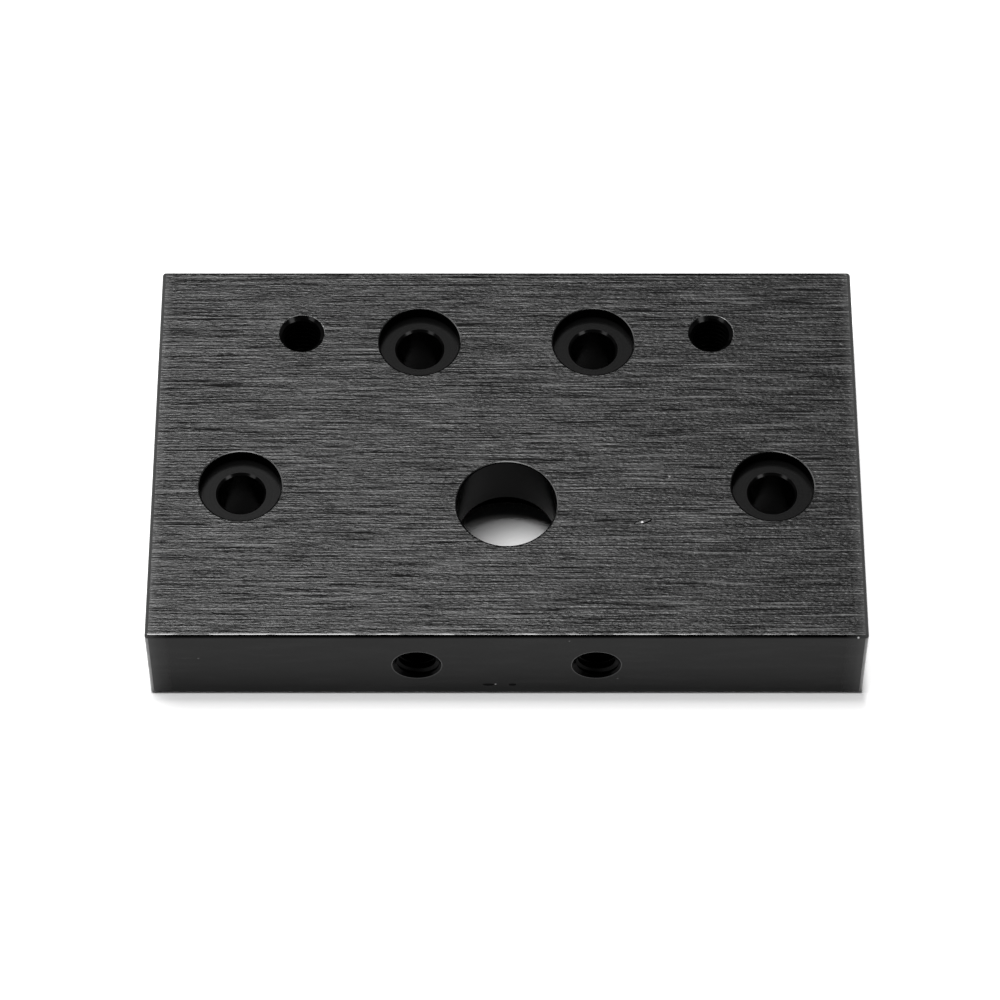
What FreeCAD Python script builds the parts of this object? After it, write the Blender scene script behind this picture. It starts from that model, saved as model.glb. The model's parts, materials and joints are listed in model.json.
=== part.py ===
import FreeCAD, Part
import Sketcher
import os

# End mount plate of a screw-driven linear actuator: one block of aluminium, in millimetres.
# It closes the end of a C-shaped rail, carries the bearing of the screw and holds the motor's spacers.
# The plate lies on its rail face, with +Z up through the outer face, X across the rail and -Y at the front.
# The origin is on the screw's axis, in the rail face.

SIZES = (
    ("plate_width", 80, "across the rail"),
    ("plate_depth", 50, "back edge to front edge"),
    ("plate_thickness", 12, "rail face to outer face"),
    ("edge_round", 0.4, "rounding of the outer edges"),
    ("rail_grid", 20, "pitch of the holes in the rail's end"),
    ("back_row_inset", 10, "back edge to the back row of rail holes"),
    ("screw_offset", 2.4, "side row of rail holes to the screw's axis, towards the front"),
    ("bore_diameter", 11.2, "clearance bore of the screw"),
    ("bearing_diameter", 16, "pocket of the bearing, in the rail face"),
    ("bearing_depth", 5, "pocket of the bearing"),
    ("bearing_lead", 0.3, "lead-in chamfer of the bearing's pocket"),
    ("rail_hole_diameter", 5.2, "clearance holes of the rail screws"),
    ("rail_hole_chamfer", 0.25, "both ends of the rail holes"),
    ("head_diameter", 9.2, "counterbores of the rail screws"),
    ("head_depth", 1.5, "counterbores of the rail screws"),
    ("rim_round", 0.15, "rounded mouths of the bore and the counterbores"),
    ("motor_spacing", 47.14, "side of the square of motor holes about the screw's axis"),
    ("tap_diameter", 4.2, "tapping drill of all threaded holes"),
    ("motor_mouth", 5.2, "countersinks of the motor holes"),
    ("edge_spacing", 20, "threaded holes in the front edge"),
    ("edge_mouth", 5.5, "countersinks of the front edge holes"),
    ("edge_drill_depth", 12.5, "front edge holes, without the drill's point"),
)

# Places worked out from the driving sizes
SIDE_SPACING = "3 * Sizes.rail_grid"
BACK_SPACING = "Sizes.rail_grid"
SIDE_ROW = "Sizes.screw_offset"
BACK_ROW = "(Sizes.screw_offset + Sizes.rail_grid)"
BACK_EDGE = f"({BACK_ROW} + Sizes.back_row_inset)"
FRONT_EDGE = f"(Sizes.plate_depth - {BACK_EDGE})"
MID_THICKNESS = "Sizes.plate_thickness / 2"
MOTOR_ROW = "Sizes.motor_spacing / 2"
MOTOR_EXIT = "(Sizes.motor_mouth - Sizes.tap_diameter) / 2"
BEARING_MOUTH = "Sizes.bearing_diameter / 2 + Sizes.bearing_lead"

ORIGIN = -1
VERTICAL_AXIS = -2
START, END, CENTRE = 1, 2, 3
SAME = 1e-6
SCREW_AXIS = [(0, 0)]

doc = FreeCAD.newDocument("end_mount_plate")
sheet = doc.addObject("Spreadsheet::Sheet", "Sizes")
for row, (alias, value, note) in enumerate(SIZES, start=1):
    sheet.set(f"A{row}", alias)
    sheet.set(f"B{row}", str(value))
    sheet.set(f"C{row}", note)
    sheet.setAlias(f"B{row}", alias)
doc.recompute()

body = doc.addObject("PartDesign::Body", "end_plate")
body.Label = "end_plate"


def origin_part(role):
    """The body's own origin plane or axis of this role."""
    return next(part for part in body.Origin.OriginFeatures if part.Role == role)


def new_sketch(name, plane, lift=None):
    """A sketch on an origin plane of the body, moved along the plane's normal by an expression."""
    sketch = body.newObject("Sketcher::SketchObject", name)
    sketch.AttachmentSupport = (origin_part(plane), [""])
    sketch.MapMode = "FlatFace"
    if lift:
        sketch.setExpression("AttachmentOffset.Base.z", lift)
    return sketch


def measure(sketch, name, kind, places, expression):
    """A dimension of the sketch, named and tied to the sheet."""
    index = sketch.addConstraint(Sketcher.Constraint(kind, *places, doc_value(expression)))
    sketch.renameConstraint(index, name)
    sketch.setExpression(f"Constraints.{name}", expression)


def doc_value(expression):
    """What an expression gives with the sheet's present values."""
    value = sheet.evalExpression(expression)
    return getattr(value, "Value", value)


def closed_outline(sketch, corners):
    """Straight lines through the corners, joined end to end, level and upright where they start so."""
    count = len(corners)
    points = [FreeCAD.Vector(x, y, 0) for x, y in corners]
    for i in range(count):
        sketch.addGeometry(Part.LineSegment(points[i], points[(i + 1) % count]))
    for i in range(count):
        following = (i + 1) % count
        sketch.addConstraint(Sketcher.Constraint("Coincident", i, END, following, START))
        run = points[following] - points[i]
        if abs(run.y) < SAME:
            sketch.addConstraint(Sketcher.Constraint("Horizontal", i))
        elif abs(run.x) < SAME:
            sketch.addConstraint(Sketcher.Constraint("Vertical", i))


def hole_pair(sketch, name, diameter, spacing, row):
    """Two equal circles, mirrored about the sketch's upright axis."""
    half, height = doc_value(spacing) / 2, doc_value(row)
    up = FreeCAD.Vector(0, 0, 1)
    left, right = (
        sketch.addGeometry(Part.Circle(FreeCAD.Vector(x, height, 0), up, doc_value(diameter) / 2))
        for x in (-half, half)
    )
    sketch.addConstraint(Sketcher.Constraint("Symmetric", left, CENTRE, right, CENTRE, VERTICAL_AXIS))
    sketch.addConstraint(Sketcher.Constraint("Equal", left, right))
    measure(sketch, f"{name}_diameter", "Diameter", (left,), diameter)
    measure(sketch, f"{name}_spacing", "DistanceX", (left, CENTRE, right, CENTRE), spacing)
    measure(sketch, f"{name}_row", "DistanceY", (ORIGIN, START, left, CENTRE), row)


def axes_of(layout):
    """Where the circles of a layout seen from above stand in the plate."""
    return [(circle.Center.x, circle.Center.y) for circle in layout.Geometry]


def round_edges(shape, axes, diameter, height):
    """Names of the circles of one diameter that lie level at one height about upright axes."""
    places = [FreeCAD.Vector(x, y, height) for x, y in axes]
    names = []
    for number, edge in enumerate(shape.Edges, start=1):
        if edge.Degenerated or not isinstance(edge.Curve, Part.Circle):
            continue
        centred = any(edge.Curve.Center.isEqual(place, SAME) for place in places)
        if centred and abs(edge.Curve.Radius - diameter / 2) < SAME:
            names.append(f"Edge{number}")
    return names


def drilled(name, profile, diameter):
    """Round holes from the plane of a sketch into the plate, one at each of its circles."""
    doc.recompute()
    hole = body.newObject("PartDesign::Hole", name)
    hole.Profile = profile
    hole.setExpression("Diameter", diameter)
    hole.HoleCutCustomValues = True
    return hole


def must_cut(feature, before):
    """Rebuilds the document and stops where a feature took nothing away."""
    doc.recompute()
    if not feature.Shape.isValid() or feature.Shape.Volume > before - SAME:
        raise RuntimeError(f"{feature.Name} removes nothing from the plate")


# The sawn and milled block
block = new_sketch("block_outline", "XY_Plane")
half_width = sheet.plate_width / 2
back, front = doc_value(BACK_EDGE), -doc_value(FRONT_EDGE)
closed_outline(block, [(-half_width, front), (half_width, front), (half_width, back), (-half_width, back)])
measure(block, "width", "DistanceX", (0, START, 0, END), "Sizes.plate_width")
measure(block, "half_width", "DistanceX", (ORIGIN, START, 0, END), "Sizes.plate_width / 2")
measure(block, "depth", "DistanceY", (1, START, 1, END), "Sizes.plate_depth")
measure(block, "back_edge", "DistanceY", (ORIGIN, START, 2, START), BACK_EDGE)
plate = body.newObject("PartDesign::Pad", "plate")
plate.Profile = block
plate.setExpression("Length", "Sizes.plate_thickness")
doc.recompute()

# All twelve outer edges are broken before the holes are made
outer_edges = body.newObject("PartDesign::Fillet", "outer_edges")
outer_edges.Base = (plate, [f"Edge{number}" for number in range(1, len(plate.Shape.Edges) + 1)])
outer_edges.setExpression("Radius", "Sizes.edge_round")
must_cut(outer_edges, plate.Shape.Volume)

# Stepped bore on the screw's axis: pocket of the bearing from the rail face, then a shoulder and the bore
section = new_sketch("bore_section", "XZ_Plane")
bearing_radius, bore_radius = sheet.bearing_diameter / 2, sheet.bore_diameter / 2
lead, shoulder, top = sheet.bearing_lead, sheet.bearing_depth, sheet.plate_thickness
closed_outline(section, [
    (0, 0),
    (bearing_radius + lead, 0),
    (bearing_radius, lead),
    (bearing_radius, shoulder),
    (bore_radius, shoulder),
    (bore_radius, top),
    (0, top),
])
section.addConstraint(Sketcher.Constraint("Coincident", 0, START, ORIGIN, START))
measure(section, "mouth_radius", "DistanceX", (0, START, 0, END), BEARING_MOUTH)
measure(section, "lead_height", "DistanceY", (1, START, 1, END), "Sizes.bearing_lead")
measure(section, "bearing_radius", "DistanceX", (ORIGIN, START, 2, START), "Sizes.bearing_diameter / 2")
measure(section, "shoulder_height", "DistanceY", (ORIGIN, START, 3, START), "Sizes.bearing_depth")
measure(section, "bore_radius", "DistanceX", (ORIGIN, START, 4, START), "Sizes.bore_diameter / 2")
measure(section, "top_height", "DistanceY", (ORIGIN, START, 5, START), "Sizes.plate_thickness")
bearing_bore = body.newObject("PartDesign::Groove", "bearing_bore")
bearing_bore.Profile = section
bearing_bore.ReferenceAxis = (origin_part("Z_Axis"), [""])
bearing_bore.Angle = 360
must_cut(bearing_bore, outer_edges.Shape.Volume)

# Clearance holes of the rail screws, counterbored in the outer face
rail_layout = new_sketch("rail_layout", "XY_Plane", "Sizes.plate_thickness")
hole_pair(rail_layout, "side", "Sizes.rail_hole_diameter", SIDE_SPACING, SIDE_ROW)
hole_pair(rail_layout, "back", "Sizes.rail_hole_diameter", BACK_SPACING, BACK_ROW)
rail_holes = drilled("rail_holes", rail_layout, "Sizes.rail_hole_diameter")
rail_holes.DepthType = "ThroughAll"
rail_holes.HoleCutType = "Counterbore"
rail_holes.setExpression("HoleCutDiameter", "Sizes.head_diameter")
rail_holes.setExpression("HoleCutDepth", "Sizes.head_depth")
must_cut(rail_holes, bearing_bore.Shape.Volume)

# Both ends of the rail holes: at the floor of the counterbore and at the rail face
floor_height = sheet.plate_thickness - sheet.head_depth
rail_ends = body.newObject("PartDesign::Chamfer", "rail_ends")
rail_ends.Base = (rail_holes, [
    name
    for height in (floor_height, 0)
    for name in round_edges(rail_holes.Shape, axes_of(rail_layout), sheet.rail_hole_diameter, height)
])
rail_ends.setExpression("Size", "Sizes.rail_hole_chamfer")
must_cut(rail_ends, rail_holes.Shape.Volume)

# Deburred mouths of the counterbores and the bore in the outer face
rims = body.newObject("PartDesign::Fillet", "rims")
head_rims = round_edges(rail_ends.Shape, axes_of(rail_layout), sheet.head_diameter, top)
bore_rim = round_edges(rail_ends.Shape, SCREW_AXIS, sheet.bore_diameter, top)
rims.Base = (rail_ends, head_rims + bore_rim)
rims.setExpression("Radius", "Sizes.rim_round")
must_cut(rims, rail_ends.Shape.Volume)

# Threaded motor holes at tapping size: the back half of the motor's square
motor_layout = new_sketch("motor_layout", "XY_Plane", "Sizes.plate_thickness")
hole_pair(motor_layout, "motor", "Sizes.tap_diameter", "Sizes.motor_spacing", MOTOR_ROW)
motor_holes = drilled("motor_holes", motor_layout, "Sizes.tap_diameter")
motor_holes.DepthType = "ThroughAll"
motor_holes.HoleCutType = "Countersink"
motor_holes.setExpression("HoleCutDiameter", "Sizes.motor_mouth")
must_cut(motor_holes, rims.Shape.Volume)

# Threaded blind holes in the front edge, at mid-thickness, with the point that the drill leaves
edge_layout = new_sketch("edge_layout", "XZ_Plane", FRONT_EDGE)
hole_pair(edge_layout, "edge", "Sizes.tap_diameter", "Sizes.edge_spacing", MID_THICKNESS)
edge_holes = drilled("edge_holes", edge_layout, "Sizes.tap_diameter")
edge_holes.DepthType = "Dimension"
edge_holes.setExpression("Depth", "Sizes.edge_drill_depth")
edge_holes.DrillPoint = "Angled"
edge_holes.HoleCutType = "Countersink"
edge_holes.setExpression("HoleCutDiameter", "Sizes.edge_mouth")
must_cut(edge_holes, motor_holes.Shape.Volume)

# Where the motor holes leave the rail face they are countersunk as at the top
motor_exits = body.newObject("PartDesign::Chamfer", "motor_exits")
motor_exits.Base = (edge_holes, round_edges(edge_holes.Shape, axes_of(motor_layout), sheet.tap_diameter, 0))
motor_exits.setExpression("Size", MOTOR_EXIT)
must_cut(motor_exits, edge_holes.Shape.Volume)

body.Tip = motor_exits
doc.recompute()

failed = [item.Name for item in doc.Objects if {"Invalid", "Error"} & set(item.State)]
if failed:
    raise RuntimeError(f"not rebuilt: {failed}")
sketches = [item for item in doc.Objects if item.isDerivedFrom("Sketcher::SketchObject")]
loose = [sketch.Name for sketch in sketches if sketch.solve() != 0]
if loose:
    raise RuntimeError(f"sketches that don't solve: {loose}")
if body.Shape.isNull() or not body.Shape.isValid() or len(body.Shape.Solids) != 1:
    raise RuntimeError("the plate isn't one valid solid")

os.makedirs("parts", exist_ok=True)
body.Shape.exportStep(f"parts/{body.Label}.step")
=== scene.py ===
import json
import math

import bmesh
import bpy
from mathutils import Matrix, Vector
from mathutils.geometry import delaunay_2d_cdt


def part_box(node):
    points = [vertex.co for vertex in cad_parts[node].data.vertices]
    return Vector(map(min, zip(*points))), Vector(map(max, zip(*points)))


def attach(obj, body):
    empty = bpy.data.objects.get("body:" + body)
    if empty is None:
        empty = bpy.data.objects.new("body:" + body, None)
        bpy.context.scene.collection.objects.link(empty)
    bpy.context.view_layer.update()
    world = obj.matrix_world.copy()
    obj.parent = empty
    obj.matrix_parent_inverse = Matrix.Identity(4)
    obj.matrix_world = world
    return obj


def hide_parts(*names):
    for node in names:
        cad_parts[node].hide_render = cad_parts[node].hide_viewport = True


# End mount plate of a screw-driven linear actuator, in metres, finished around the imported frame.
# The plate's visible mesh repeats the solid with finer rounds, and adds the cut threads and a few nicks.

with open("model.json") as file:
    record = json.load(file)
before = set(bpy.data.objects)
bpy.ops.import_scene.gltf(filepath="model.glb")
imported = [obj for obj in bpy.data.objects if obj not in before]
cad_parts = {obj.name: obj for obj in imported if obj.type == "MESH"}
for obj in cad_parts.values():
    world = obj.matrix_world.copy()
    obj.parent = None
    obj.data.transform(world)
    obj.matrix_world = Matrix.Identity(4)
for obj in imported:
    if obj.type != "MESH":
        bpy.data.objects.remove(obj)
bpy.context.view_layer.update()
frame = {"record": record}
plate_low, plate_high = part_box("end_plate")
mounts = {mount["name"]: mount for mount in frame["record"]["mounts"]}

MM = 0.001
X, Y, Z = Vector((1, 0, 0)), Vector((0, 1, 0)), Vector((0, 0, 1))

# Points that are closer than this are one point
TOUCHING = 1e-9

# Sizes that the record doesn't state
EDGE_ROUND = 0.4 * MM
RIM_ROUND = 0.15 * MM
HEAD_RADIUS = 4.6 * MM
HEAD_DEPTH = 1.5 * MM
RAIL_CHAMFER = 0.25 * MM
BEARING_LEAD = 0.3 * MM
MOTOR_MOUTH_RADIUS = 2.6 * MM
MOUTH_BREAK_WIDTH = 0.06 * MM
MOUTH_BREAK_DROP = 0.01 * MM
EDGE_MOUTH_RADIUS = 2.75 * MM
EDGE_BREAK_WIDTH = 0.08 * MM
EDGE_BREAK_DROP = 0.016 * MM
EDGE_DRILL_DEPTH = 12.5 * MM
EDGE_THREAD_DEPTH = 10.5 * MM
DRILL_POINT_ANGLE = math.radians(118)

# Threads: M5, with crests cut off by the tapping drill
THREAD_PITCH = 0.8 * MM
THREAD_ROOT_RADIUS = 2.5 * MM
THREAD_FLANK_ANGLE = math.radians(30)
ROOT_FLAT = THREAD_PITCH / 8

# How finely the round forms are divided
BORE_STEPS = 128
HEAD_STEPS = 96
SMALL_STEPS = 64
ROUND_STEPS = 5
RIM_STEPS = 4
NICK_STEPS = 24
SHARP_ANGLE = math.radians(30)

# Finishes of the faces, in the order of the plate's materials
BRUSHED, SATIN, FRONT, SHADED, FACED, BROKEN, LIPPED = range(7)

# Sides of the block, in the order of the corners that come before them
BACK_SIDE, LEFT_SIDE, FRONT_SIDE, RIGHT_SIDE = range(4)

# Nick in the outer face beside the bore
NICK_X, NICK_Y = 15.3 * MM, -2.4 * MM
NICK_TURN = math.radians(18)
NICK_LENGTH, NICK_WIDTH, NICK_DEPTH = 2.16 * MM, 0.66 * MM, 0.1 * MM

# Dents low in the front edge: place along the edge and length of each
DENTS = ((-2.03 * MM, 1.34 * MM), (0.66 * MM, 0.9 * MM))
DENT_LEVEL = 1.87 * MM
DENT_WIDTH = 0.5 * MM
DENT_DEPTH = 0.09 * MM

# Bed of a nick: shares of its length and width, shift across in half widths, and slope up to the back
BED_LENGTH, BED_WIDTH, BED_SHIFT, BED_SLOPE = 0.83, 0.46, 0.25, 0.15

# Specks of bare metal: place, half sizes and grey
FACE_SPECKS = (((18.39 * MM, 3.69 * MM, plate_high.z), (0.16 * MM,) * 3, 0.3),)
EDGE_SPECKS = (
    ((38.8 * MM, plate_low.y + 0.1 * MM, plate_high.z - 0.3 * MM), (0.18 * MM,) * 3, 0.9),
    ((-1.24 * MM, plate_low.y, 1.96 * MM), (0.14 * MM,) * 3, 0.4),
    ((-34.24 * MM, plate_low.y, 7.43 * MM), (0.14 * MM,) * 3, 0.1),
    ((-35.6 * MM, plate_low.y, 7.5 * MM), (1.5 * MM, 0.14 * MM, 0.12 * MM), 0.02),
    ((6.93 * MM, plate_low.y, 11.09 * MM), (0.14 * MM,) * 3, 0.1),
    ((12.41 * MM, plate_low.y, 3.16 * MM), (0.14 * MM,) * 3, 0.1),
)
# The spot in the nick's bed is bare metal, painted brighter as a highlight
LIP_SPECKS_AND_HIGHLIGHT = (
    ((NICK_X - 0.1 * MM, NICK_Y, plate_high.z - NICK_DEPTH), (0.19 * MM, 0.15 * MM, 0.15 * MM), 0.8),
)

# Length along Z of marks that don't change through the thickness of the plate
THROUGH = 1.0

# Brushing of the large faces: lengths of its marks along X, Y and Z, shares, depth and gloss
LONG_LINES = (32 * MM, 0.24 * MM, THROUGH)
SHORT_LINES = (3 * MM, 0.2 * MM, THROUGH)
FINE_LINES = (0.6 * MM, 0.17 * MM, THROUGH)
SCRATCHES = (9 * MM, 0.18 * MM, THROUGH)
SHORT_SHARE = 0.42
FINE_SHARE = 0.35
BRUSHED_DEPTH = 0.18 * MM
BRUSHED_GLOSS = 0.295

# Turns of the brushing's noise, in radians, which keep its cells from lining up in columns
LONG_TURN, SHORT_TURN, FINE_TURN, SCRATCH_TURN = 0.5, 0.6, 0.7, 0.55

# Greys and dullness of the brushing, as stops along the height of its lines. The greys are the
# brushing's own tone, with painted sheen on its high lines.
BRUSHED_GREYS_AND_SHEEN = ((0.44, 0.0005), (0.5, 0.003), (0.58, 0.046))
BRUSHED_DULLNESS = ((0.38, 0.34), (0.62, 0.15))

# Scratches in the brushing: painted shade darkens the deep ones, which are also dull, and painted sheen
# brightens the high ones
SCRATCH_PAINTED_SHADE = ((0.36, 0), (0.41, 1))
SCRATCH_DULLNESS = ((0.36, 0.9), (0.41, 0))
SCRATCH_PAINTED_SHEEN = ((0.6, 0), (0.69, 0.11))

# Milled edges: lengths of their wisps and grain, stops of grey and dullness, gloss and depth
SATIN_WISPS = (5 * MM, 5 * MM, 0.8 * MM)
SATIN_GRAIN = (0.5 * MM, 0.3 * MM, 0.12 * MM)
SATIN_GREYS = ((0.3, 0.0002), (0.5, 0.002), (0.7, 0.007))
SATIN_DULLNESS = ((0.3, 0.14), (0.7, 0.18))
SATIN_GLOSS = 0.066
SATIN_DEPTH = 0.002 * MM

# Roundings and lips: lengths of their unevenness, stops of grey and dullness
ROUNDING_WAVES = (10 * MM, 1.5 * MM, 6 * MM)
ROUNDING_GREYS = ((0.3, 0.001), (0.7, 0.003))
ROUNDING_DULLNESS = ((0.3, 0.14), (0.7, 0.2))

# Rings of the turning tool: pitch, depth, values at their low and high stops, and dullness there
RING_PITCH = 0.12 * MM
RING_DEPTH = 0.004 * MM
RING_LOW, RING_HIGH = 0.3, 0.7
RING_DULLNESS = ((RING_LOW, 0.26), (RING_HIGH, 0.2))

# Ends paled by a painted sheen: reach and grey on the large faces and on the edges, and share of it
# halfway
FACE_END_REACH = 1.5 * MM
FACE_END_GREY = 0.08
EDGE_END_REACH = 2.6 * MM
EDGE_END_GREY = 0.075
HALF_SHEEN = 0.3

# Floor: reach, grey and dullness of the paper, and how much it is lifted to white for the eye
FLOOR_REACH = 3.0
PAPER_GREY = 0.93
PAPER_DULLNESS = 0.9
FLOOR_LIFT = 0.7

# Lift of the floor round the plate: how far before the plate and beside it, and how much. The lift is
# low close to the plate, which paints its narrow shadow in front, and high close beside it, which lifts
# away the shadow there.
FLOOR_LIFTS_AND_PAINTED_SHADOW = (
    (-0.5 * MM, -0.5 * MM, 0.0),
    (-0.03 * MM, -0.03 * MM, 0.0),
    (0.05 * MM, 0.02 * MM, 0.28),
    (0.1 * MM, 0.05 * MM, 0.35),
    (0.8 * MM, 0.1 * MM, 0.3),
    (1.4 * MM, 0.2 * MM, 0.4),
    (6.0 * MM, 0.8 * MM, FLOOR_LIFT),
    (FLOOR_REACH, FLOOR_REACH, FLOOR_LIFT),
)

# Painted pool of light on the paper under the bore: half sizes of the patch and how much more it glows
# to the eye
PAINTED_LIGHT_PATCH = (8.0 * MM, 6.6 * MM, 6.6 * MM)
PAINTED_LIGHT_LIFT = 0.09

# Watts of a lamp for each square metre and each unit of radiance
WATTS_PER_RADIANCE = 4

# Soft boxes that face down: place, size and radiance
OVERHEAD_BOXES = {
    "overhead_left_box": ((-0.155, 0.08, 0.8), (0.43, 0.3), 10),
    "overhead_right_box": ((0.23, 0.01, 0.8), (0.34, 0.14), 0.8),
    "rear_left_box": ((-0.155, 0.455, 0.8), (0.5, 0.29), 3.6),
    "rear_right_box": ((0.235, 0.5, 0.8), (0.28, 0.28), 0.2),
}

# Soft boxes in front that face the plate: place, size and radiance
FRONT_BOXES = {
    "front_left_box": ((-0.61, -0.53, 0.45), (0.3, 0.4), 1.0),
    "front_right_box": ((0.61, -0.53, 0.45), (0.3, 0.4), 1.5),
}

# Studio round the plate: greys from behind the camera to the far side
STUDIO_GREYS = ((0.3, 0.01), (0.6, 0.08))

# Camera at the photo's angle: place, tilt from straight down, focal length and sensor in millimetres
CAMERA_PLACE = (-0.74 * MM, -281.77 * MM, 436.22 * MM)
CAMERA_TILT = math.radians(33.64)
CAMERA_LENS = 163.1
CAMERA_SENSOR = 36


def pair_places(name):
    """Centres of the two holes of a bolt pattern."""
    mount = mounts[name]
    half = mount["dims"]["spacing_x_mm"] * MM / 2
    return [Vector(mount["pos_m"]) + X * side * half for side in (-1, 1)]


def hole_radius(name):
    """Radius of the holes of a bolt pattern."""
    return mounts[name]["dims"]["hole_r_mm"] * MM


crest_radius = hole_radius("motor_bolts")
thickness = plate_high.z - plate_low.z


class Skin:
    """Points and faces of one closed mesh, with each face's finish and the tool's path at each point."""

    def __init__(self):
        self.points = []
        self.paths = []
        self.faces = []
        self.finishes = []

    def point(self, place, path=0.0):
        """Adds a point and gives its number."""
        self.points.append(place)
        self.paths.append(path)
        return len(self.points) - 1

    def face(self, corners, finish):
        """Adds a face without the corners that repeat the one before them."""
        kept = [corner for i, corner in enumerate(corners) if corner != corners[i - 1]]
        if len(kept) > 2:
            self.faces.append(kept)
            self.finishes.append(finish)

    def band(self, one, other, finish):
        """Joins two closed loops of equally many points."""
        for i in range(len(one)):
            self.face([one[i - 1], one[i], other[i], other[i - 1]], finish)

    def flat(self, outline, openings, across, up, finish):
        """Fills a flat outline around its openings with triangles."""
        loops = [outline, *openings]
        indices = [index for loop in loops for index in loop]
        flattened = {i: Vector((self.points[i].dot(across), self.points[i].dot(up))) for i in indices}
        places = [flattened[i] for i in indices]
        edges = []
        start = 0
        for loop in loops:
            edges += [(start + i, start + (i + 1) % len(loop)) for i in range(len(loop))]
            start += len(loop)
        _, _, triangles, sources, _, _ = delaunay_2d_cdt(places, edges, [], 1, TOUCHING)
        holes = [[flattened[i] for i in loop] for loop in openings]
        for triangle in triangles:
            corners = [sources[i][0] for i in triangle]
            middle = sum((places[i] for i in corners), Vector((0, 0))) / len(corners)
            if not any(inside(middle, hole) for hole in holes):
                self.face([indices[i] for i in corners], finish)


def inside(place, polygon):
    """Whether a flat point lies in a polygon."""
    found = False
    for a, b in zip(polygon, polygon[1:] + polygon[:1]):
        if (a.y > place.y) != (b.y > place.y):
            if place.x < a.x + (place.y - a.y) * (b.x - a.x) / (b.y - a.y):
                found = not found
    return found


class Hole:
    """Round hole from a mouth in a flat face. Heights along its axis are below zero inside the plate."""

    def __init__(self, skin, mouth, out, steps):
        self.skin = skin
        self.mouth = mouth
        self.out = out
        self.across = X
        self.up = out.cross(X)
        self.steps = steps

    def place(self, radius, height, turn):
        """Place at this radius and height, after this share of a turn."""
        angle = 2 * math.pi * turn
        spoke = self.across * math.cos(angle) + self.up * math.sin(angle)
        return self.mouth + self.out * height + spoke * radius

    def loop(self, radius, height, path=0.0):
        """Closed loop of points at this radius and height."""
        places = [self.place(radius, height, i / self.steps) for i in range(self.steps)]
        return [self.skin.point(place, path) for place in places]

    def turned(self, section):
        """Walls through points (radius, height, finish of the band before). Gives the two end loops."""
        path = 0.0
        loops = [self.loop(*section[0][:2])]
        for before, after in zip(section, section[1:]):
            path += math.dist(before[:2], after[:2])
            loops.append(self.loop(*after[:2], path))
            self.skin.band(loops[-2], loops[-1], after[2])
        return loops[0], loops[-1]

    def threaded(self, top, bottom, radius_at, sink=0.0):
        """Helical wall between two loops. Each thread has a crest, a flank, a root and a flank.
        Down to the depth of the countersink, the wall is finished as lips are."""
        depth = THREAD_ROOT_RADIUS - crest_radius
        flank = depth * math.tan(THREAD_FLANK_ANGLE)
        crest_flat = THREAD_PITCH - ROOT_FLAT - 2 * flank
        profile = (
            (0.0, 0.0),
            (crest_flat, 0.0),
            (crest_flat + flank, depth),
            (crest_flat + flank + ROOT_FLAT, depth),
        )
        top_height, top_loop = top
        bottom_height, bottom_loop = bottom
        per_turn = len(profile)
        turns = math.ceil((top_height - bottom_height) / THREAD_PITCH) + 2
        made = {}

        def vertex(row, column):
            if column == self.steps:
                return vertex(row + per_turn, 0)
            turn, stage = divmod(row, per_turn)
            along, rise = profile[stage]
            height = bottom_height + along + THREAD_PITCH * (turn - 1 + column / self.steps)
            if height >= top_height:
                return top_loop[column]
            if height <= bottom_height:
                return bottom_loop[column]
            if (row, column) not in made:
                place = self.place(radius_at(height, rise), height, column / self.steps)
                made[row, column] = self.skin.point(place, height)
            return made[row, column]

        for row in range(turns * per_turn):
            for column in range(self.steps):
                corners = [vertex(row, column), vertex(row, column + 1)]
                corners += [vertex(row + 1, column + 1), vertex(row + 1, column)]
                depths = [(self.mouth - self.skin.points[i]).dot(self.out) for i in corners]
                self.skin.face(corners, LIPPED if max(depths) < sink else SHADED)


skin = Skin()
top_openings, bottom_openings, front_openings = [], [], []


def quarter_round(radius, steps):
    """Pairs (out, up) of a quarter circle, from flat to upright."""
    angles = [math.pi / 2 * i / steps for i in range(steps + 1)]
    return [(radius * (1 - math.sin(angle)), radius * (math.cos(angle) - 1)) for angle in angles]


def rounded_rim(radius):
    """Section of a hole's rounded rim, from the lip that the brushing has rubbed down."""
    section = [(radius + RIM_ROUND + MOUTH_BREAK_WIDTH, 0.0, LIPPED)]
    for i, (out, up) in enumerate(quarter_round(RIM_ROUND, RIM_STEPS)[1:]):
        section.append((radius + out, up - MOUTH_BREAK_DROP, SHADED if i else LIPPED))
    return section


def add_bearing_bore():
    """Bore of the screw from the outer face, down to the shoulder and the pocket of the bearing."""
    bore = mounts["screw_bore"]["dims"]["r_mm"] * MM
    pocket = mounts["bearing_seat"]["dims"]["r_mm"] * MM
    pocket_depth = mounts["bearing_seat"]["dims"]["length_mm"] * MM + BEARING_LEAD
    axis = Vector(mounts["screw_bore"]["pos_m"])
    hole = Hole(skin, Vector((axis.x, axis.y, plate_high.z)), Z, BORE_STEPS)
    section = rounded_rim(bore) + [
        (bore, pocket_depth - thickness, SHADED),
        (pocket, pocket_depth - thickness, FACED),
        (pocket, BEARING_LEAD - thickness, SHADED),
        (pocket + BEARING_LEAD, -thickness, LIPPED),
    ]
    mouth, exit_loop = hole.turned(section)
    top_openings.append(mouth)
    bottom_openings.append(exit_loop)


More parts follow.
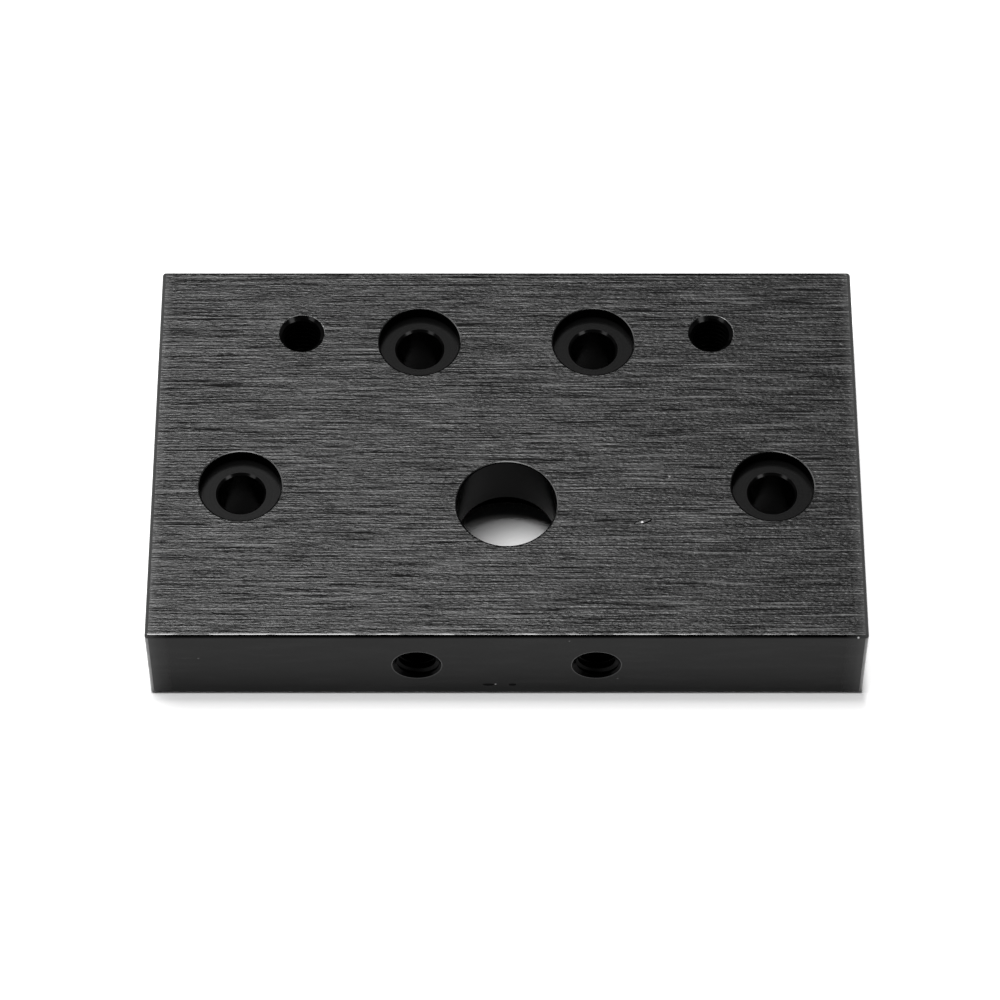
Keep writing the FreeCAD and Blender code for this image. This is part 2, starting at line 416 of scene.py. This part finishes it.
def add_rail_hole(place, radius):
    """Clearance hole of a rail screw, counterbored in the outer face and chamfered at both ends."""
    hole = Hole(skin, Vector((place.x, place.y, plate_high.z)), Z, HEAD_STEPS)
    section = rounded_rim(HEAD_RADIUS) + [
        (HEAD_RADIUS, -HEAD_DEPTH, SHADED),
        (radius + RAIL_CHAMFER, -HEAD_DEPTH, FACED),
        (radius, -HEAD_DEPTH - RAIL_CHAMFER, LIPPED),
        (radius, RAIL_CHAMFER - thickness, SHADED),
        (radius + RAIL_CHAMFER, -thickness, LIPPED),
    ]
    mouth, exit_loop = hole.turned(section)
    top_openings.append(mouth)
    bottom_openings.append(exit_loop)


def add_motor_hole(place):
    """Threaded through hole, countersunk at both faces."""
    hole = Hole(skin, Vector((place.x, place.y, plate_high.z)), Z, SMALL_STEPS)
    sink = MOTOR_MOUTH_RADIUS - THREAD_ROOT_RADIUS
    mouth = hole.loop(MOTOR_MOUTH_RADIUS + MOUTH_BREAK_WIDTH, 0)
    lip = hole.loop(MOTOR_MOUTH_RADIUS, -MOUTH_BREAK_DROP)
    top_loop = hole.loop(THREAD_ROOT_RADIUS, -sink)
    bottom_loop = hole.loop(THREAD_ROOT_RADIUS, sink - thickness)
    exit_loop = hole.loop(MOTOR_MOUTH_RADIUS, -thickness)

    def radius_at(height, rise):
        upper = MOTOR_MOUTH_RADIUS + height
        lower = MOTOR_MOUTH_RADIUS - thickness - height
        return max(crest_radius + rise, upper, lower)

    skin.band(mouth, lip, BROKEN)
    skin.band(lip, top_loop, LIPPED)
    full_sink = MOTOR_MOUTH_RADIUS - crest_radius
    hole.threaded((-sink, top_loop), (sink - thickness, bottom_loop), radius_at, full_sink)
    skin.band(bottom_loop, exit_loop, LIPPED)
    top_openings.append(mouth)
    bottom_openings.append(exit_loop)


def add_edge_hole(place):
    """Threaded blind hole in the front edge, with the plain end and the point that the drill leaves."""
    hole = Hole(skin, Vector((place.x, plate_low.y, place.z)), -Y, SMALL_STEPS)
    sink = EDGE_MOUTH_RADIUS - THREAD_ROOT_RADIUS
    mouth = hole.loop(EDGE_MOUTH_RADIUS + EDGE_BREAK_WIDTH, 0)
    lip = hole.loop(EDGE_MOUTH_RADIUS, -EDGE_BREAK_DROP)
    top_loop = hole.loop(THREAD_ROOT_RADIUS, -sink)
    bottom_loop = hole.loop(crest_radius, -EDGE_THREAD_DEPTH)
    end_loop = hole.loop(crest_radius, -EDGE_DRILL_DEPTH)
    tip_depth = EDGE_DRILL_DEPTH + crest_radius / math.tan(DRILL_POINT_ANGLE / 2)
    tip = skin.point(hole.place(0, -tip_depth, 0))

    def radius_at(height, rise):
        runout = min(1.0, (height + EDGE_THREAD_DEPTH) / THREAD_PITCH)
        return max(crest_radius + rise * runout, EDGE_MOUTH_RADIUS + height)

    skin.band(mouth, lip, LIPPED)
    skin.band(lip, top_loop, SHADED)
    hole.threaded((-sink, top_loop), (-EDGE_THREAD_DEPTH, bottom_loop), radius_at)
    skin.band(bottom_loop, end_loop, SHADED)
    skin.band(end_loop, [tip] * SMALL_STEPS, SHADED)
    front_openings.append(mouth)


def add_nick(place, along, out, size, wall_finish, bed_finish):
    """Gouge in a flat face: walls round a leaning bed. Gives its rim."""
    length, width, depth = size
    across = out.cross(along)
    bed_place = place + across * width / 2 * BED_SHIFT - out * depth
    rim, bed = [], []
    for i in range(NICK_STEPS):
        angle = 2 * math.pi * i / NICK_STEPS
        ahead = along * length / 2 * math.cos(angle)
        aside = across * width / 2 * math.sin(angle)
        spread = ahead * BED_LENGTH + aside * BED_WIDTH
        rim.append(skin.point(place + ahead + aside))
        bed.append(skin.point(bed_place + spread + out * BED_SLOPE * spread.y))
    skin.band(rim, bed, wall_finish)
    skin.band(bed, [skin.point(bed_place)] * NICK_STEPS, bed_finish)
    return rim


def add_nicks():
    """Marks that the plate has picked up on its outer face and its front edge."""
    nick_along = X * math.cos(NICK_TURN) + Y * math.sin(NICK_TURN)
    nick_place = Vector((NICK_X, NICK_Y, plate_high.z))
    nick_size = (NICK_LENGTH, NICK_WIDTH, NICK_DEPTH)
    # The gouge's walls and the dents below take the dark, dull finish: painted shade in them
    top_openings.append(add_nick(nick_place, nick_along, Z, nick_size, SHADED, LIPPED))
    for x, length in DENTS:
        dent_place = Vector((x, plate_low.y, plate_low.z + DENT_LEVEL))
        dent_size = (length, DENT_WIDTH, DENT_DEPTH)
        front_openings.append(add_nick(dent_place, X, -Y, dent_size, SHADED, SHADED))


def block_loop(latitude, level):
    """Loop round the block through the rounding of its edges: 0 is upright, a quarter turn is flat."""
    reach = EDGE_ROUND * math.cos(latitude)
    height = level + EDGE_ROUND * math.sin(latitude)
    corners = (
        (plate_high.x - EDGE_ROUND, plate_high.y - EDGE_ROUND),
        (plate_low.x + EDGE_ROUND, plate_high.y - EDGE_ROUND),
        (plate_low.x + EDGE_ROUND, plate_low.y + EDGE_ROUND),
        (plate_high.x - EDGE_ROUND, plate_low.y + EDGE_ROUND),
    )
    loop = []
    for quarter, (x, y) in enumerate(corners):
        if reach < TOUCHING:
            loop += [skin.point(Vector((x, y, height)))] * (ROUND_STEPS + 1)
            continue
        for i in range(ROUND_STEPS + 1):
            angle = math.pi / 2 * (quarter + i / ROUND_STEPS)
            place = Vector((x + reach * math.cos(angle), y + reach * math.sin(angle), height))
            loop.append(skin.point(place))
    return loop


def add_level_rounding(loops, front_finishes):
    """Rounding of the edges of a large face. The bands at the front have finishes of their own."""
    for one, other, front_finish in zip(loops, loops[1:], front_finishes):
        for i in range(len(one)):
            corners = [one[i - 1], one[i], other[i], other[i - 1]]
            in_front = all(skin.points[corner].y <= plate_low.y + EDGE_ROUND for corner in corners)
            skin.face(corners, front_finish if in_front else FRONT)


def add_block():
    """Outer faces of the block and the rounding of its twelve edges."""
    latitudes = [math.pi / 2 * i / ROUND_STEPS for i in range(ROUND_STEPS + 1)]
    lower = [block_loop(-latitude, plate_low.z + EDGE_ROUND) for latitude in reversed(latitudes)]
    upper = [block_loop(latitude, plate_high.z - EDGE_ROUND) for latitude in latitudes]
    # The lower bands at the front take the dark, dull finish: painted shade along the plate's foot
    add_level_rounding(lower, [SHADED] * ROUND_STEPS)
    add_level_rounding(upper, [FRONT] * (ROUND_STEPS - 1) + [BROKEN])

    per_corner = ROUND_STEPS + 1
    low, high = lower[-1], upper[0]
    for side in (BACK_SIDE, LEFT_SIDE, FRONT_SIDE, RIGHT_SIDE):
        first = side * per_corner
        last, following = first + ROUND_STEPS, (first + per_corner) % len(low)
        for i in range(first, last):
            skin.face([low[i], low[i + 1], high[i + 1], high[i]], BROKEN)
        outline = [low[last], low[following], high[following], high[last]]
        if side == FRONT_SIDE:
            skin.flat(outline, front_openings, X, Z, FRONT)
        else:
            skin.face(outline, SATIN)
    skin.flat(upper[-1][::per_corner], top_openings, X, Y, BRUSHED)
    skin.flat(lower[0][::per_corner], bottom_openings, X, Y, BRUSHED)


def build_plate():
    """The whole plate as one closed mesh object."""
    add_bearing_bore()
    for name in ("rail_side_bolts", "rail_back_bolts"):
        for place in pair_places(name):
            add_rail_hole(place, hole_radius(name))
    for place in pair_places("motor_bolts"):
        add_motor_hole(place)
    for place in pair_places("edge_bolts"):
        add_edge_hole(place)
    add_nicks()
    add_block()

    mesh = bpy.data.meshes.new("end_plate_finished")
    mesh.from_pydata(skin.points, [], skin.faces)
    mesh.polygons.foreach_set("material_index", skin.finishes)
    path = mesh.attributes.new("tool_path", "FLOAT", "POINT")
    path.data.foreach_set("value", skin.paths)
    shaped = bmesh.new()
    shaped.from_mesh(mesh)
    bmesh.ops.recalc_face_normals(shaped, faces=shaped.faces)
    for face in shaped.faces:
        face.smooth = True
    for edge in shaped.edges:
        one, other = edge.link_faces
        edge.smooth = one.material_index == other.material_index and edge.calc_face_angle() < SHARP_ANGLE
    shaped.to_mesh(mesh)
    shaped.free()
    plate = bpy.data.objects.new("end_plate_finished", mesh)
    bpy.context.scene.collection.objects.link(plate)
    weighted = plate.modifiers.new("flat_faces_stay_flat", "WEIGHTED_NORMAL")
    weighted.keep_sharp = True
    return plate


class NodeTree:
    """Nodes of a material or of the world, and the few ways in which they are joined here."""

    def __init__(self, owner):
        owner.use_nodes = True
        self.nodes = owner.node_tree.nodes
        self.links = owner.node_tree.links

    def coordinates(self, kind):
        """Coordinates of this kind, such as Object or Generated."""
        return self.nodes.new("ShaderNodeTexCoord").outputs[kind]

    def part_of(self, vector, axis):
        """One number of a vector."""
        parts = self.nodes.new("ShaderNodeSeparateXYZ")
        self.links.new(vector, parts.inputs["Vector"])
        return parts.outputs[axis]

    def attribute(self, name):
        """Value that the mesh keeps at each point under this name."""
        node = self.nodes.new("ShaderNodeAttribute")
        node.attribute_name = name
        return node.outputs["Fac"]

    def calculated(self, operation, *values):
        """Result of a sum or another operation on one or two values."""
        node = self.nodes.new("ShaderNodeMath")
        node.operation = operation
        for value, socket in zip(values, node.inputs):
            self.links.new(value, socket)
        return node.outputs["Value"]

    def spread(self, value, low, high):
        """Value from 0 at the low end to 1 at the high end."""
        node = self.nodes.new("ShaderNodeMapRange")
        node.inputs["From Min"].default_value = low
        node.inputs["From Max"].default_value = high
        self.links.new(value, node.inputs["Value"])
        return node.outputs["Result"]

    def ramp(self, value, stops):
        """Greys along a value, from stops (value, grey)."""
        node = self.nodes.new("ShaderNodeValToRGB")
        node.color_ramp.elements[0].position = stops[0][0]
        node.color_ramp.elements[-1].position = stops[-1][0]
        for position, _ in stops[1:-1]:
            node.color_ramp.elements.new(position)
        for element, (_, grey) in zip(node.color_ramp.elements, stops):
            element.color = (grey, grey, grey, 1)
        self.links.new(value, node.inputs["Fac"])
        return node.outputs["Color"]

    def blend(self, one, other, share):
        """Mean of two values, with this share of the second."""
        node = self.nodes.new("ShaderNodeMix")
        node.inputs["Factor"].default_value = share
        self.links.new(one, node.inputs["A"])
        self.links.new(other, node.inputs["B"])
        return node.outputs["Result"]

    def mixed(self, way, one, other):
        """Two colours put together in this way."""
        node = self.nodes.new("ShaderNodeMixRGB")
        node.blend_type = way
        node.inputs["Fac"].default_value = 1
        self.links.new(one, node.inputs["Color1"])
        self.links.new(other, node.inputs["Color2"])
        return node.outputs["Color"]

    def streaks(self, lengths, detail, turn=0.0):
        """Noise stretched to these lengths along X, Y and Z, from 0 to 1.
        A turn keeps the cells of the noise from lining up in columns."""
        stretch = self.nodes.new("ShaderNodeMapping")
        stretch.inputs["Scale"].default_value = [1 / length for length in lengths]
        stretch.inputs["Rotation"].default_value = (0, 0, turn)
        noise = self.nodes.new("ShaderNodeTexNoise")
        noise.inputs["Scale"].default_value = 1
        noise.inputs["Detail"].default_value = detail
        self.links.new(self.coordinates("Object"), stretch.inputs["Vector"])
        self.links.new(stretch.outputs["Vector"], noise.inputs["Vector"])
        return noise.outputs["Fac"]

    def rings(self, path, pitch, detail):
        """Noise along a path, from 0 to 1."""
        noise = self.nodes.new("ShaderNodeTexNoise")
        noise.noise_dimensions = "1D"
        noise.inputs["Scale"].default_value = 1 / pitch
        noise.inputs["Detail"].default_value = detail
        self.links.new(path, noise.inputs["W"])
        return noise.outputs["Fac"]

    def spot(self, place, half_sizes, grey):
        """Grey within a ball of these half sizes, fading to nothing over its outer half."""
        about = self.nodes.new("ShaderNodeMapping")
        about.vector_type = "TEXTURE"
        about.inputs["Location"].default_value = place
        about.inputs["Scale"].default_value = half_sizes
        ball = self.nodes.new("ShaderNodeTexGradient")
        ball.gradient_type = "SPHERICAL"
        self.links.new(self.coordinates("Object"), about.inputs["Vector"])
        self.links.new(about.outputs["Vector"], ball.inputs["Vector"])
        return self.ramp(ball.outputs["Fac"], ((0, 0), (0.5, grey)))

    def speckled(self, colour, specks):
        """Colour with small spots where bare metal shows, one of them also a painted highlight."""
        for place, half_sizes, grey in specks:
            colour = self.mixed("LIGHTEN", colour, self.spot(place, half_sizes, grey))
        return colour

    def painted_end_sheen(self, colour, reach, grey):
        """Colour that pales over the last stretch towards the plate's two ends, a painted sheen."""
        aside = self.calculated("ABSOLUTE", self.part_of(self.coordinates("Object"), "X"))
        nearness = self.spread(aside, plate_high.x - reach, plate_high.x)
        sheen_ramp = self.ramp(nearness, ((0, 0), (0.5, HALF_SHEEN * grey), (1, grey)))
        return self.mixed("ADD", colour, sheen_ramp)


class Finish(NodeTree):
    """Material with one shader."""

    def __init__(self, name):
        self.material = bpy.data.materials.new(name)
        super().__init__(self.material)
        self.shader = self.nodes["Principled BSDF"]

    def coat(self, grey, dull, gloss):
        """Gives the surface its colour, its roughness and the strength of its mirroring."""
        self.links.new(grey, self.shader.inputs["Base Color"])
        self.links.new(dull, self.shader.inputs["Roughness"])
        self.shader.inputs["Specular IOR Level"].default_value = gloss

    def bump(self, height, depth, strength=1.0):
        """Makes the surface uneven by this depth."""
        node = self.nodes.new("ShaderNodeBump")
        node.inputs["Strength"].default_value = strength
        node.inputs["Distance"].default_value = depth
        self.links.new(height, node.inputs["Height"])
        self.links.new(node.outputs["Normal"], self.shader.inputs["Normal"])


def brushed_material():
    """Black anodised face, brushed across the width of the plate, with painted sheen and shade in its
    lines and scratches.
    """
    finish = Finish("anodised_black_brushed")
    long = finish.streaks(LONG_LINES, detail=1, turn=LONG_TURN)
    short = finish.streaks(SHORT_LINES, detail=1, turn=SHORT_TURN)
    fine = finish.streaks(FINE_LINES, detail=1, turn=FINE_TURN)
    scratches = finish.streaks(SCRATCHES, detail=1, turn=SCRATCH_TURN)
    lines = finish.blend(finish.blend(long, short, SHORT_SHARE), fine, FINE_SHARE)
    # The brushing's own tone, with painted sheen on its high lines
    grey = finish.ramp(lines, BRUSHED_GREYS_AND_SHEEN)
    # Painted shade in the deep scratches and painted sheen on the high ones
    grey = finish.mixed("MULTIPLY", grey, finish.ramp(scratches, SCRATCH_PAINTED_SHADE))
    grey = finish.mixed("ADD", grey, finish.ramp(scratches, SCRATCH_PAINTED_SHEEN))
    # Ends paled by a painted sheen
    grey = finish.painted_end_sheen(grey, FACE_END_REACH, FACE_END_GREY)
    grey = finish.speckled(grey, FACE_SPECKS)
    dull = finish.ramp(lines, BRUSHED_DULLNESS)
    dull = finish.mixed("LIGHTEN", dull, finish.ramp(scratches, SCRATCH_DULLNESS))
    finish.coat(grey, dull, BRUSHED_GLOSS)
    finish.bump(lines, BRUSHED_DEPTH)
    return finish.material


def satin_material(name, end_grey):
    """Black anodised edges of the plate, milled smooth, and paler towards its ends by this grey of
    painted sheen.
    """
    finish = Finish(name)
    wisps = finish.streaks(SATIN_WISPS, detail=4)
    grain = finish.streaks(SATIN_GRAIN, detail=3)
    grey = finish.ramp(wisps, SATIN_GREYS)
    # Ends paled by a painted sheen, where a grey is given
    if end_grey:
        grey = finish.painted_end_sheen(grey, EDGE_END_REACH, end_grey)
    grey = finish.speckled(grey, EDGE_SPECKS)
    finish.coat(grey, finish.ramp(grain, SATIN_DULLNESS), SATIN_GLOSS)
    finish.bump(grain, SATIN_DEPTH, strength=0.5)
    return finish.material


def rounding_material(name, gloss, depth, specks):
    """Black anodised rounding or lip, smooth and a little uneven along its length."""
    finish = Finish(name)
    waves = finish.streaks(ROUNDING_WAVES, detail=3)
    grey = finish.speckled(finish.ramp(waves, ROUNDING_GREYS), specks)
    finish.coat(grey, finish.ramp(waves, ROUNDING_DULLNESS), gloss)
    finish.bump(waves, depth)
    return finish.material


def cut_material(name, greys, gloss):
    """Black anodised surface with the rings that a turning tool leaves."""
    finish = Finish(name)
    rings = finish.rings(finish.attribute("tool_path"), RING_PITCH, detail=2)
    dark, pale = greys
    grey = finish.ramp(rings, ((RING_LOW, dark), (RING_HIGH, pale)))
    finish.coat(grey, finish.ramp(rings, RING_DULLNESS), gloss)
    finish.bump(rings, RING_DEPTH, strength=0.5)
    return finish.material


def paper_material():
    """White paper. To the eye, and in mirrors, it gives off the light by which it is lifted to white,
    and a painted pool of light under the bore.
    """
    finish = Finish("white_paper")
    finish.shader.inputs["Base Color"].default_value = (PAPER_GREY, PAPER_GREY, PAPER_GREY, 1)
    finish.shader.inputs["Roughness"].default_value = PAPER_DULLNESS
    finish.shader.inputs["Specular IOR Level"].default_value = 0.0
    finish.shader.inputs["Emission Color"].default_value = (1, 1, 1, 1)
    rays = finish.nodes.new("ShaderNodeLightPath").outputs
    seen = rays["Is Camera Ray"]
    for mirrored in ("Is Glossy Ray", "Is Transmission Ray"):
        seen = finish.calculated("MAXIMUM", seen, rays[mirrored])
    # Painted pool of light on the paper under the bore
    painted_light_pool = finish.spot(mounts["bearing_seat"]["pos_m"], PAINTED_LIGHT_PATCH, PAINTED_LIGHT_LIFT)
    # The floor's lift is low near the plate and paints its narrow shadow
    lift = finish.calculated("ADD", finish.attribute("lift"), painted_light_pool)
    strength = finish.calculated("MULTIPLY", seen, lift)
    finish.links.new(strength, finish.shader.inputs["Emission Strength"])
    finish.material.cycles.emission_sampling = "NONE"
    return finish.material


def add_floor():
    """Floor under the plate, divided where its lift to white changes; the low lift near the plate paints
    its narrow shadow.
    """
    places, lifts = [], []
    for before, beside, lift in FLOOR_LIFTS_AND_PAINTED_SHADOW:
        low_x, high_x = plate_low.x - beside, plate_high.x + beside
        low_y, high_y = plate_low.y - before, plate_high.y + beside
        corners = ((low_x, low_y), (high_x, low_y), (high_x, high_y), (low_x, high_y))
        places += [Vector((x, y, plate_low.z)) for x, y in corners]
        lifts += [lift] * len(corners)
    per_loop = len(places) // len(FLOOR_LIFTS_AND_PAINTED_SHADOW)
    faces = [tuple(range(per_loop))]
    for inner in range(0, len(places) - per_loop, per_loop):
        outer = inner + per_loop
        for i in range(per_loop):
            after = (i + 1) % per_loop
            faces.append((inner + i, outer + i, outer + after, inner + after))
    mesh = bpy.data.meshes.new("floor")
    mesh.from_pydata(places, [], faces)
    lifted = mesh.attributes.new("lift", "FLOAT", "POINT")
    lifted.data.foreach_set("value", lifts)
    mesh.materials.append(paper_material())
    floor = bpy.data.objects.new("floor", mesh)
    bpy.context.scene.collection.objects.link(floor)


def add_softbox(name, place, target, size, radiance):
    """Rectangular lamp that faces a target. Its brightness is the radiance of its surface."""
    light = bpy.data.lights.new(name, "AREA")
    light.shape = "RECTANGLE"
    light.size, light.size_y = size
    light.energy = WATTS_PER_RADIANCE * radiance * light.size * light.size_y
    lamp = bpy.data.objects.new(name, light)
    lamp.location = place
    lamp.rotation_euler = (Vector(target) - Vector(place)).to_track_quat("-Z", "Y").to_euler()
    bpy.context.scene.collection.objects.link(lamp)


def add_world():
    """Dim studio around the plate, darkest behind the camera."""
    world = bpy.data.worlds.new("studio")
    tree = NodeTree(world)
    ahead = tree.spread(tree.part_of(tree.coordinates("Generated"), "Y"), -1, 1)
    tree.links.new(tree.ramp(ahead, STUDIO_GREYS), tree.nodes["Background"].inputs["Color"])
    bpy.context.scene.world = world


def add_light():
    """Two soft boxes over the plate, two behind them and two small ones in front, in a dim studio."""
    for name, (place, size, radiance) in OVERHEAD_BOXES.items():
        add_softbox(name, place, (*place[:2], 0), size, radiance)
    for name, (place, size, radiance) in FRONT_BOXES.items():
        add_softbox(name, place, (0, 0, 0), size, radiance)
    add_world()


def add_camera():
    """Camera that sees the plate as the photo does."""
    camera = bpy.data.cameras.new("camera")
    camera.sensor_width = CAMERA_SENSOR
    camera.lens = CAMERA_LENS
    eye = bpy.data.objects.new("camera", camera)
    eye.location = CAMERA_PLACE
    eye.rotation_euler = (CAMERA_TILT, 0, 0)
    bpy.context.scene.collection.objects.link(eye)
    bpy.context.scene.camera = eye


plate = build_plate()
materials = {
    BRUSHED: brushed_material(),
    SATIN: satin_material("anodised_black_satin", end_grey=0),
    FRONT: satin_material("anodised_black_front", end_grey=EDGE_END_GREY),
    # Two copies of the cut finish: the darker, duller one is painted shade on hole walls, threads, gouge
    # walls, dents and the plate's lower front edge; the paler faced one is painted light on the
    # counterbore floors that face the lamps
    SHADED: cut_material("anodised_black_shaded", greys=(0.0006, 0.0016), gloss=0.03),
    FACED: cut_material("anodised_black_faced", greys=(0.0025, 0.0042), gloss=0.07),
    BROKEN: rounding_material("anodised_black_broken", gloss=0.85, depth=0.26 * MM, specks=EDGE_SPECKS),
    LIPPED: rounding_material("anodised_black_lipped", gloss=0.35, depth=0.02 * MM, specks=LIP_SPECKS_AND_HIGHLIGHT),
}
for finish in sorted(materials):
    plate.data.materials.append(materials[finish])
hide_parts("end_plate")
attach(plate, "root")

add_floor()
add_light()
add_camera()
bpy.context.scene.view_settings.view_transform = "Standard"
